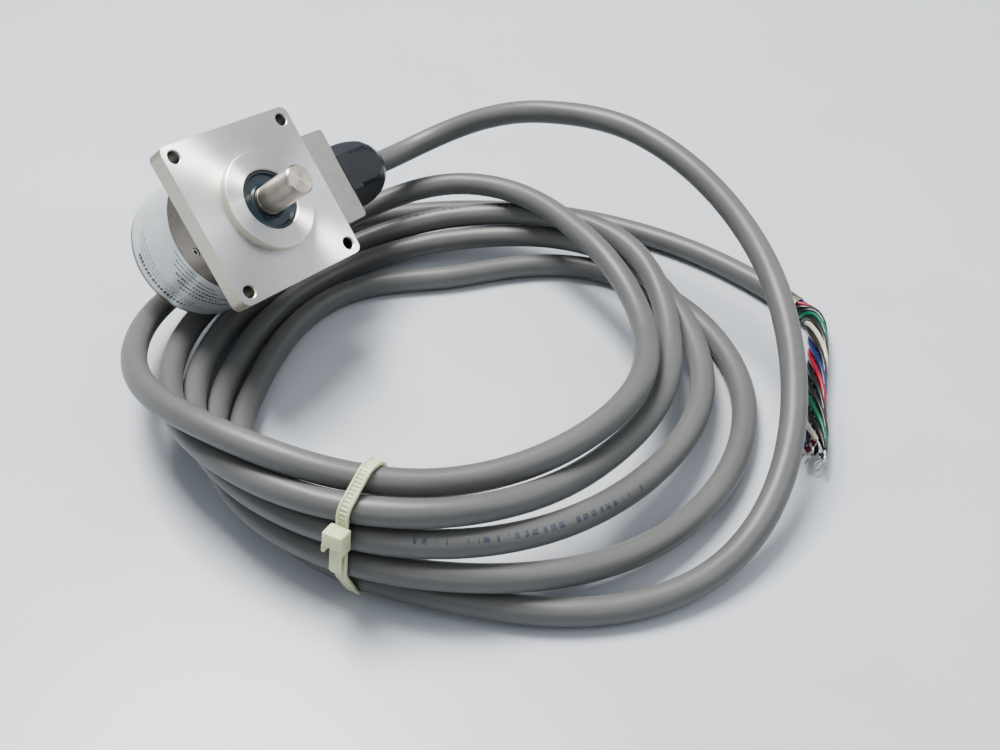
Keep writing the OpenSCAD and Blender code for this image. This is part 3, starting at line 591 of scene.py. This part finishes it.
def frames_along(points):
    """Tangents and two side directions carried along a polyline without twist."""
    tangent = unit_tangents(points)
    side = np.zeros_like(points)
    start = np.array([0, 0, 1.0]) if abs(tangent[0][2]) < 0.9 else np.array([1.0, 0, 0])
    side[0] = unit(np.cross(tangent[0], start))
    for i in range(1, len(points)):
        side[i] = unit(side[i - 1] - tangent[i] * np.dot(side[i - 1], tangent[i]))
    return tangent, side, np.cross(side, tangent)


def tube(points, radius, sides, cap, swell=None):
    """A closed round tube along points in metres, its ends chamfered by cap of the radius."""
    tangent, side, rise = frames_along(points)
    length = lengths_along(points)
    inset = cap * radius
    points = np.vstack([points[0], points[0] + tangent[0] * inset, points[1:-1],
                        points[-1] - tangent[-1] * inset, points[-1]])
    side, rise = (np.vstack([rows[:1], rows, rows[-1:]]) for rows in (side, rise))
    length = np.concatenate([[0, inset], length[1:-1], [length[-1] - inset, length[-1]]])
    radii = np.full(len(points), radius)
    radii[[0, -1]] *= 1 - cap
    turn = np.arange(sides) / sides
    angle = TURN * turn
    reach = radii[:, None] * (swell(length, turn) if swell else 1.0)
    verts = points[:, None] + reach[..., None] * (
        np.cos(angle)[None, :, None] * side[:, None]
        + np.sin(angle)[None, :, None] * rise[:, None])
    uv = np.stack(np.broadcast_arrays(length[:, None], turn[None]), axis=2)
    faces = []
    for start in range(0, (len(points) - 1) * sides, sides):
        end = start + sides
        for k in range(sides):
            after = (k + 1) % sides
            faces.append((end + k, end + after, start + after, start + k))
    last = (len(points) - 1) * sides
    faces.append(tuple(range(sides)))
    faces.append(tuple(last + k for k in range(sides - 1, -1, -1)))
    return verts.reshape(-1, 3), faces, uv.reshape(-1, 2)


def join(parts):
    all_faces, count = [], 0
    for verts, faces, _ in parts:
        all_faces += [tuple(i + count for i in face) for face in faces]
        count += len(verts)
    return np.vstack([part[0] for part in parts]), all_faces, np.vstack([p[2] for p in parts])


def smooth_by_angle(mesh, degrees):
    bm = bmesh.new()
    bm.from_mesh(mesh)
    for face in bm.faces:
        face.smooth = True
    for edge in bm.edges:
        edge.smooth = (len(edge.link_faces) == 2
                       and edge.calc_face_angle(0) < math.radians(degrees))
    bm.to_mesh(mesh)
    bm.free()


# ------------------------------------------------------------------ the cable (mm, row frame)
MID = np.array([-12.1, -1.4, 0.0])      # middle of the coil
# a station every 45 degrees, eight to a turn, from +Y towards +X: distance from MID, height
COIL = np.array([
    [92, 50], [91, 57], [103, 36], [112.5, 7], [91, 5.6], [79, 5.8], [62.5, 4.2], [60, 4.1],
    [55, 4.1], [80, 4.1], [94, 4.3], [95.5, 7], [91.8, 15], [84.5, 12.6], [72, 5.8], [71, 4.3],
    [71.5, 8.8], [81, 12.3], [81.5, 9], [80.5, 14.5], [87.8, 23.2], [85.5, 21], [80.5, 10.2],
    [81.5, 4.2],
    [78, 14.7], [80, 20.7], [71, 15], [70.3, 20], [84, 31], [87.5, 29.3], [88.5, 14.5],
    [92, 6.2],
    [86, 24], [65, 27], [62, 23], [66.9, 30.2], [74.8, 32.6], [86, 38], [100, 20], [101, 6],
    [98, 4.2], [110, 4.1], [138, 4.1], [180, 4.1],
], float)
START, END = 0.45, 41.57                # stations where the cable joins and leaves the coil
NEAR = 0.05                             # stations, for directions along the coil
GLAND_IN, GLAND_OUT = row_point(31, -0.5, -17.5), row_point(72, -0.5, -17.5)
PRINT_STATION = 19.6                    # where the printed row faces the camera


def spline(knots, place):
    """Catmull-Rom curve through the knots."""
    i = int(math.floor(place))
    t = place - i
    a, b, c, d = (knots[max(0, min(len(knots) - 1, j))] for j in (i - 1, i, i + 1, i + 2))
    return 0.5 * (2 * b + (c - a) * t + (2 * a - 5 * b + 4 * c - d) * t * t
                  + (3 * b - a - 3 * c + d) * t ** 3)


def coil_at(station):
    reach, height = spline(COIL, station)
    angle = math.radians(45 * station)
    return MID + np.array([reach * math.sin(angle), reach * math.cos(angle), height])


def cable_route():
    """Straight through the gland, a Bezier over to the coil, then the coil."""
    gland_pull, coil_pull = 28, 26      # mm, Bezier handles
    gland_steps, lead_steps, steps_per_station = 12, 26, 26
    straight = [GLAND_IN + (GLAND_OUT - GLAND_IN) * k / gland_steps for k in range(gland_steps)]
    coil_start = coil_at(START)
    coil_dir = unit(coil_at(START + NEAR) - coil_at(START - NEAR))
    leave = GLAND_OUT + gland_pull * np.array(X_AXIS)
    arrive = coil_start - coil_pull * coil_dir
    lead = [(1 - t) ** 3 * GLAND_OUT + 3 * (1 - t) ** 2 * t * leave
            + 3 * (1 - t) * t * t * arrive + t ** 3 * coil_start
            for t in np.linspace(0, 1, lead_steps + 1)]
    steps = int((END - START) * steps_per_station)
    coil = [coil_at(START + (END - START) * k / steps) for k in range(steps + 1)]
    return np.array(straight + lead[:-1] + coil)


def jacket_swell(length, turn):
    """The cores inside show through the jacket as a faint slow twist."""
    threefold = np.sin(TURN * (3 * turn[None] + length[:, None] / 0.045))
    twofold = np.sin(TURN * (turn[None] * 2 - length[:, None] / 0.071 + 0.3))
    return 1.0 + 0.0035 * threefold + 0.0035 * twofold


def print_place(route):
    """Metres along the cable, and turns round it, where the printed row faces the camera."""
    spot = int(np.argmin(np.linalg.norm(route - coil_at(PRINT_STATION), axis=1)))
    _, side, rise = frames_along(route / 1000)
    to_eye = unit(CAMERA_AT - route[spot])
    turn = math.atan2(to_eye @ rise[spot], to_eye @ side[spot]) / TURN % 1.0
    return float(lengths_along(route)[spot] / 1000), float(turn)


route = cable_route()
MATERIALS["jacket"] = jacket(*print_place(route))
add_mesh("cable", tube(route / 1000, CABLE_R / 1000, sides=28, cap=0.10, swell=jacket_swell),
         MATERIALS["jacket"], "cable_jacket")

# ------------------------------------------------------------------ loose cores
CORE_LAY_R = 2.32           # mm, from the bundle's middle to each core as they leave the jacket
CORE_TURNS = 2.1            # turns of the bundle over its whole line
CORE_R, STRAND_R = 0.84, 0.135          # mm
STRAND_RING = 0.27          # mm, of six strands round a seventh
TAIL_AT = coil_at(END)
TAIL_DIR = unit(TAIL_AT - coil_at(END - NEAR))
# x, y, z of the bundle's middle, from just inside the jacket end
KNOTS = np.array([
    TAIL_AT + 0.45 * TAIL_DIR, TAIL_AT + 9 * TAIL_DIR,
    [113.1, 25.6, 5.2], [111.1, 11.6, 6], [107.4, -3.4, 6.4], [103.8, -18.4, 6.4],
    [100.9, -33.4, 6], [97.6, -44.4, 5.4],
], float)
core_line = np.array([spline(KNOTS, s)
                      for s in np.linspace(0, len(KNOTS) - 1, (len(KNOTS) - 1) * 28 + 1)])
line_dir = unit_tangents(core_line)
line_side = np.cross(line_dir, np.array([0, 0, 1.0]))
line_side /= np.linalg.norm(line_side, axis=1)[:, None]
line_rise = np.cross(line_side, line_dir)


def core_at(core, q):
    """Where a core (0 to 7) is at q, from 0 to 1 along the bundle; they part near its end."""
    place = q * (len(core_line) - 1)
    i = min(int(place), len(core_line) - 2)
    part = place - i
    middle, side, rise = (rows[i] * (1 - part) + rows[i + 1] * part
                          for rows in (core_line, line_side, line_rise))
    uneven = 1 + 0.3 * math.sin(math.radians(137 * core))
    reach = CORE_LAY_R + 0.3 * min(1, 6 * q) + 1.3 * q ** 7 * uneven
    angle = math.radians(45 * core + 360 * CORE_TURNS * q)
    return middle + reach * (math.cos(angle) * side + math.sin(angle) * rise)


def insulation_end(core):
    return 0.905 + 0.018 * math.sin(math.radians(95 * core))


def insulated(core, steps=120):
    end = insulation_end(core)
    points = np.array([core_at(core, end * k / steps) for k in range(steps + 1)]) / 1000
    return tube(points, CORE_R / 1000, sides=16, cap=0.18)


def strand(core, number, steps=14):
    """One bare wire, twisted with its neighbours and then fanning out and drooping."""
    start = insulation_end(core) - 0.012
    end = start + 0.062 + 0.008 * math.sin(2.1 * core)
    ring = 0.0 if number == 0 else STRAND_RING
    spread = 0.6 + 0.4 * math.sin(3.7 * number + core)
    droop = np.array([0.5 * math.sin(1.9 * core + 0.4), 0.3 * math.cos(2.3 * core), -0.35])
    path = []
    for i in range(steps + 1):
        q = start + (end - start) * i / steps
        direction = unit(core_at(core, q + 0.002) - core_at(core, q - 0.002))
        side = unit(np.cross(direction, [0, 0, 1.0]))
        rise = np.cross(side, direction)
        fan = max(0.0, (i - 8) / 6.0)
        angle = math.radians(60 * number + 300 * i / steps)
        reach = ring * (1 + 0.9 * fan * spread)
        path.append(core_at(core, q) + reach * (math.cos(angle) * side + math.sin(angle) * rise)
                    + droop * fan ** 2)
    return tube(np.array(path) / 1000, STRAND_R / 1000, sides=7, cap=0.3)


CORES = {"core_red": ([0], "red"), "core_blue": ([1], "blue"), "core_white": ([3], "white"),
         "core_green": ([5], "green"), "cores_black": ([2, 4, 6, 7], "black")}
for name, (cores, look) in CORES.items():
    add_mesh(name + "_insulation", join([insulated(core) for core in cores]),
             MATERIALS[look], name)
add_mesh("core_strands", join([strand(core, number) for core in range(8) for number in range(7)]),
         MATERIALS["tin"], "core_tips")

# ------------------------------------------------------------------ the folded-back braid
CUFF_START, CUFF_LENGTH = 0.55, 6.1             # mm past the jacket end
CUFF_R, CUFF_INNER_R, DRAIN_R = 3.66, 3.42, 3.80    # mm from the cable's middle line
cuff_side = unit(np.cross(TAIL_DIR, [0, 0, 1.0]))
cuff_rise = np.cross(cuff_side, TAIL_DIR)


def cuff_point(z, radius, angle):
    around = math.cos(angle) * cuff_side + math.sin(angle) * cuff_rise
    return (TAIL_AT + TAIL_DIR * z + radius * around) / 1000


def woven_radius(z, angle):
    weave = math.sin(TURN * z / 1.02 + 1.1 * math.sin(angle) + 0.5 * math.sin(3 * angle + z))
    return CUFF_R + 0.15 * weave + 0.05 * math.sin(7 * angle + 2 * z)


def braid_sleeve(rings=46, sides=40):
    """Out along the rippled outside and back along the plain inside."""
    verts, uv, faces = [], [], []
    outside = [(i, True) for i in range(rings)]
    for i, outer in outside + [(i, False) for i in range(rings - 1, -1, -1)]:
        z = CUFF_START + CUFF_LENGTH * i / (rings - 1)
        for k in range(sides):
            angle = TURN * k / sides
            radius = woven_radius(z, angle) if outer else CUFF_INNER_R
            verts.append(cuff_point(z + 0.15 * math.sin(2 * angle + 1), radius, angle))
            uv.append((z / 1000, k / sides))
    for i in range(2 * rings):
        this, following = i * sides, (i + 1) % (2 * rings) * sides
        for k in range(sides):
            after = (k + 1) % sides
            faces.append((this + after, following + after, following + k, this + k))
    return np.array(verts), faces, np.array(uv)


def drain_wire(number, points=60):
    """One of three wires wound round the cuff."""
    path = []
    for i in range(points):
        part = i / (points - 1)
        path.append(cuff_point(0.9 + 5.4 * part, DRAIN_R, TURN * (number / 3 + 1.35 * part)))
    return tube(np.array(path), 0.00014, sides=6, cap=0.3)


add_mesh("braid_cuff", join([braid_sleeve()] + [drain_wire(number) for number in range(3)]),
         MATERIALS["braid"], "shield_end")

# ------------------------------------------------------------------ cable tie (mm)
STRANDS = 5                 # passes of the cable through the tie
TIE_STATION = 4.33          # near where the first pass goes through
WIDE, THICK = 3.6, 1.1      # of the strap
GAP = 0.16                  # between cable and strap
PITCH, TOOTH_STEPS = 1.15, 8    # of the ladder down the strap
tie_angle = math.radians(207.0)
TIE_OUT = np.array([math.sin(tie_angle), math.cos(tie_angle), 0.0])    # away from the coil
TIE_UP = np.array([0, 0, 1.0])
TIE_SIDE = np.cross(TIE_UP, TIE_OUT)    # along the strap's width
TIE_AT = MID + np.array([-20.5, -80.5, 0.0])


def tie_cross(strand_number, offset):
    """Where a pass crosses the plane offset mm beside the tie's middle: (reach, height)."""
    def beside(place):
        return float(np.dot(coil_at(place) - TIE_AT, TIE_SIDE))

    step = 0.02
    station = TIE_STATION + 8 * strand_number
    for _ in range(5):
        slope_rise = beside(station + step) - beside(station - step)
        station -= (beside(station) - offset) * (2 * step) / slope_rise
    point = coil_at(station)
    return np.array([np.dot(point - TIE_AT, TIE_OUT), point[2]])


def tie_point(reach, height, across):
    return (TIE_AT + TIE_OUT * reach + TIE_UP * height + TIE_SIDE * across) / 1000


def hull(points):
    """The convex outline round 2D points, anticlockwise."""
    def half(ordered):
        out = []
        for p in ordered:
            while len(out) > 1:
                a, b = out[-2:]
                if (b[0] - a[0]) * (p[1] - a[1]) - (b[1] - a[1]) * (p[0] - a[0]) > 0:
                    break
                out.pop()
            out.append(p)
        return out

    ordered = sorted(map(tuple, points))
    return np.array(half(ordered)[:-1] + half(ordered[::-1])[:-1])


def strap_section():
    """(across, outward) points: rounded edges and a shallow channel down the outside."""
    half = WIDE / 2
    return [(-half, -0.36), (-half + 0.14, -0.5), (half - 0.14, -0.5), (half, -0.36),
            (half, 0.38), (half - 0.16, 0.55), (1.12, 0.55), (1.02, 0.42), (-1.02, 0.42),
            (-1.12, 0.55), (-half + 0.16, 0.55), (-half, 0.38)]


def strap_shape():
    """The strap drawn tight round all the passes, with ladder grooves in its channel."""
    channel_floor, groove_depth = (7, 8), 0.26      # section points, mm
    reach = CABLE_R + GAP + THICK / 2
    circle = [(math.cos(TURN * k / 96), math.sin(TURN * k / 96)) for k in range(96)]
    crossings = [tie_cross(k, side * WIDE) for k in range(STRANDS) for side in (-0.6, 0.6)]
    outline = hull([(p[0] + reach * c, p[1] + reach * s) for p in crossings for c, s in circle])
    closed = np.vstack([outline, outline[:1]])
    along = lengths_along(closed)
    total = along[-1]
    count = int(round(total / PITCH)) * TOOTH_STEPS
    ring = np.array([[np.interp(total * k / count, along, closed[:, axis]) for axis in (0, 1)]
                     for k in range(count)])
    tangent = np.roll(ring, -1, 0) - np.roll(ring, 1, 0)
    tangent /= np.linalg.norm(tangent, axis=1)[:, None]
    outward = np.stack([tangent[:, 1], -tangent[:, 0]], 1)
    section = strap_section()
    sides = len(section)
    verts, uv, faces = [], [], []
    for k in range(count):
        groove = 0.0 if k % TOOTH_STEPS < TOOTH_STEPS / 2 else -groove_depth
        this, following = k * sides, (k + 1) % count * sides
        for i, (across, height) in enumerate(section):
            if i in channel_floor:
                height = height + groove
            point = ring[k] + outward[k] * height
            verts.append(tie_point(point[0], point[1], across))
            uv.append((total * k / count / 1000, i / sides))
            after = (i + 1) % sides
            faces.append((this + i, following + i, following + after, this + after))
    return verts, faces, np.array(uv)


def build_strap():
    mesh = add_mesh("tie_strap", strap_shape(), MATERIALS["nylon"], "cable_tie").data
    bm = bmesh.new()
    bm.from_mesh(mesh)
    bmesh.ops.recalc_face_normals(bm, faces=bm.faces)
    bm.to_mesh(mesh)
    bm.free()
    smooth_by_angle(mesh, 30)


build_strap()

# the head leans with the line from the second pass to the fourth, and sits below the fourth
HEAD_DROP = 5.4
second, fourth = tie_cross(1, 0), tie_cross(3, 0)
lean = math.atan2(second[0] - fourth[0], fourth[1] - second[1])
head_middle = fourth + np.array([math.tan(lean) * HEAD_DROP, -HEAD_DROP])


def head_point(x, y, across):
    """x away from the cable, y up the strap, across its width."""
    c, s = math.cos(lean), math.sin(lean)
    return tie_point(head_middle[0] + x * c - y * s, head_middle[1] + x * s + y * c, across)


def box(across_0, across_1, y_0, y_1):
    return [(across_0, y_0), (across_1, y_0), (across_1, y_1), (across_0, y_1)]


def extruded(name, profile, x_0, x_1, bevel, segments, taper):
    """A bevelled solid from x_0 to x_1 over (across, y) points, its far end shrunk by taper."""
    bm = bmesh.new()
    near = [bm.verts.new(head_point(x_0, y, across)) for across, y in profile]
    mid_across, mid_y = (sum(p[axis] for p in profile) / len(profile) for axis in (0, 1))
    far = [bm.verts.new(head_point(x_1, mid_y + (y - mid_y) * (1 - taper),
                                   mid_across + (across - mid_across) * (1 - taper)))
           for across, y in profile]
    bm.faces.new(near[::-1])
    bm.faces.new(far)
    for i in range(len(profile)):
        j = (i + 1) % len(profile)
        bm.faces.new((near[i], near[j], far[j], far[i]))
    bmesh.ops.recalc_face_normals(bm, faces=bm.faces)
    sharp = [edge for edge in bm.edges if edge.calc_face_angle(0) > math.radians(30)]
    bmesh.ops.bevel(bm, geom=sharp, offset=bevel / 1000, segments=segments, profile=0.5,
                    affect="EDGES", clamp_overlap=True)
    mesh = bpy.data.meshes.new(name)
    bm.to_mesh(mesh)
    bm.free()
    mesh.materials.append(MATERIALS["nylon"])
    mesh.uv_layers.new(name="along")
    thing = bpy.data.objects.new(name, mesh)
    scene.collection.objects.link(thing)
    smooth_by_angle(mesh, 40)
    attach(thing, "housing")


TAIL_PROFILE = [(-1.8, -9.5), (-1.2, -10.3), (1.2, -10.3), (1.8, -9.5), (1.8, -0.4), (-1.8, -0.4)]
BASE = CABLE_R + 0.35
# name, profile, near x, far x, bevel, bevel segments, taper
TIE_PARTS = [
    ("tie_head", box(-3.1, 3.1, -1.2, 3.5), BASE + 1.15, BASE + 6.0, 0.5, 4, 0.05),
    ("tie_head_left", box(-3.1, -2.05, -3.1, -0.6), BASE + 1.15, BASE + 5.9, 0.3, 3, 0.0),
    ("tie_head_right", box(2.05, 3.1, -3.1, -0.6), BASE + 1.15, BASE + 5.9, 0.3, 3, 0.0),
    ("tie_head_back", box(-2.3, 2.3, -2.7, -0.6), BASE + 1.15, BASE + 2.45, 0.2, 2, 0.0),
    ("tie_tail", TAIL_PROFILE, BASE + 2.75, BASE + 3.85, 0.25, 3, 0.0),
]
for part in TIE_PARTS:
    extruded(*part)


# ------------------------------------------------------------------ floor, light and camera
def stage_floor(half=4.0, gap=0.0001):
    """A square just below the CAD's lowest point, sizes in metres."""
    net = Net("pale_floor")
    cloud = net.noise(net.row, scale=14, detail=4.0)
    net.finish(Base_Color=net.mottle(cloud, dark=(0.53, 0.56, 0.60), light=(0.57, 0.60, 0.64)),
               Roughness=0.30 + cloud * 0.1)
    mesh = bpy.data.meshes.new("floor")
    corners = [(-half, -half, 0), (half, -half, 0), (half, half, 0), (-half, half, 0)]
    mesh.from_pydata(corners, [], [(0, 1, 2, 3)])
    mesh.materials.append(net.material)
    floor = bpy.data.objects.new("floor", mesh)
    floor.location.z = cad_lo.z - gap
    scene.collection.objects.link(floor)


def area(name, at, target, size, energy, colour):
    """A rectangular light at a place in metres, turned to its target; size is (x, y)."""
    light = bpy.data.lights.new(name, "AREA")
    light.energy = energy
    light.color = colour
    light.shape = "RECTANGLE"
    light.size, light.size_y = size
    lamp = bpy.data.objects.new(name, light)
    lamp.location = at
    lamp.rotation_euler = (Vector(target) - Vector(at)).to_track_quat("-Z", "Y").to_euler()
    scene.collection.objects.link(lamp)


def build_world(strength=0.42):
    """A sky that brightens upwards, dimmest at the horizon."""
    world = bpy.data.worlds.new("studio")
    scene.world = world
    world.use_nodes = True
    tree = world.node_tree
    coords, split, ramp, level = (tree.nodes.new("ShaderNode" + kind) for kind in
                                  ("TexCoord", "SeparateXYZ", "ValToRGB", "MapRange"))
    background = tree.nodes["Background"]
    level.inputs["From Min"].default_value = -1.0
    level.inputs["From Max"].default_value = 1.0
    for source, target in ((coords.outputs["Generated"], split.inputs[0]),
                           (split.outputs[2], level.inputs[0]),
                           (level.outputs[0], ramp.inputs[0]),
                           (ramp.outputs[0], background.inputs[0])):
        tree.links.new(source, target)
    stops = ramp.color_ramp.elements
    stops[0].color = (0.22, 0.23, 0.25, 1)      # straight down
    stops[1].color = (1.9, 1.93, 1.98, 1)       # straight up
    for height, colour in ((0.5, (0.20, 0.215, 0.25, 1)), (0.60, (0.25, 0.27, 0.31, 1)),
                           (0.75, (0.62, 0.66, 0.72, 1)), (0.88, (1.1, 1.14, 1.2, 1))):
        stops.new(height).color = colour
    background.inputs["Strength"].default_value = strength


def build_camera():
    lens = bpy.data.cameras.new("camera")
    lens.lens, lens.sensor_width = 41.0, 36.0
    lens.clip_start, lens.clip_end = 0.01, 30
    camera = bpy.data.objects.new("camera", lens)
    camera.location = CAMERA_AT / 1000
    camera.rotation_euler = (math.radians(48.5), 0, 0)
    scene.collection.objects.link(camera)
    scene.camera = camera


stage_floor()
area("key", at=(-0.30, 0.36, 1.15), target=(0, 0, 0), size=(0.45, 0.6), energy=24,
     colour=(1.0, 0.985, 0.96))
area("fill", at=(0.80, -0.3, 0.9), target=(0, 0, 0.03), size=(0.5, 0.5), energy=2.0,
     colour=(0.93, 0.96, 1.0))
area("front", at=(-0.25, -1.0, 0.65), target=(-0.05, 0, 0.04), size=(0.5, 0.5), energy=1.4,
     colour=(0.97, 0.98, 1.0))
area("card", at=(0.93, 0.38, 0.61), target=(-0.068, 0.016, 0.06), size=(0.8, 0.8), energy=2.0,
     colour=(0.98, 0.99, 1.0))
build_world()
build_camera()
scene.view_settings.view_transform = "AgX"
scene.view_settings.look = "AgX - Medium High Contrast"
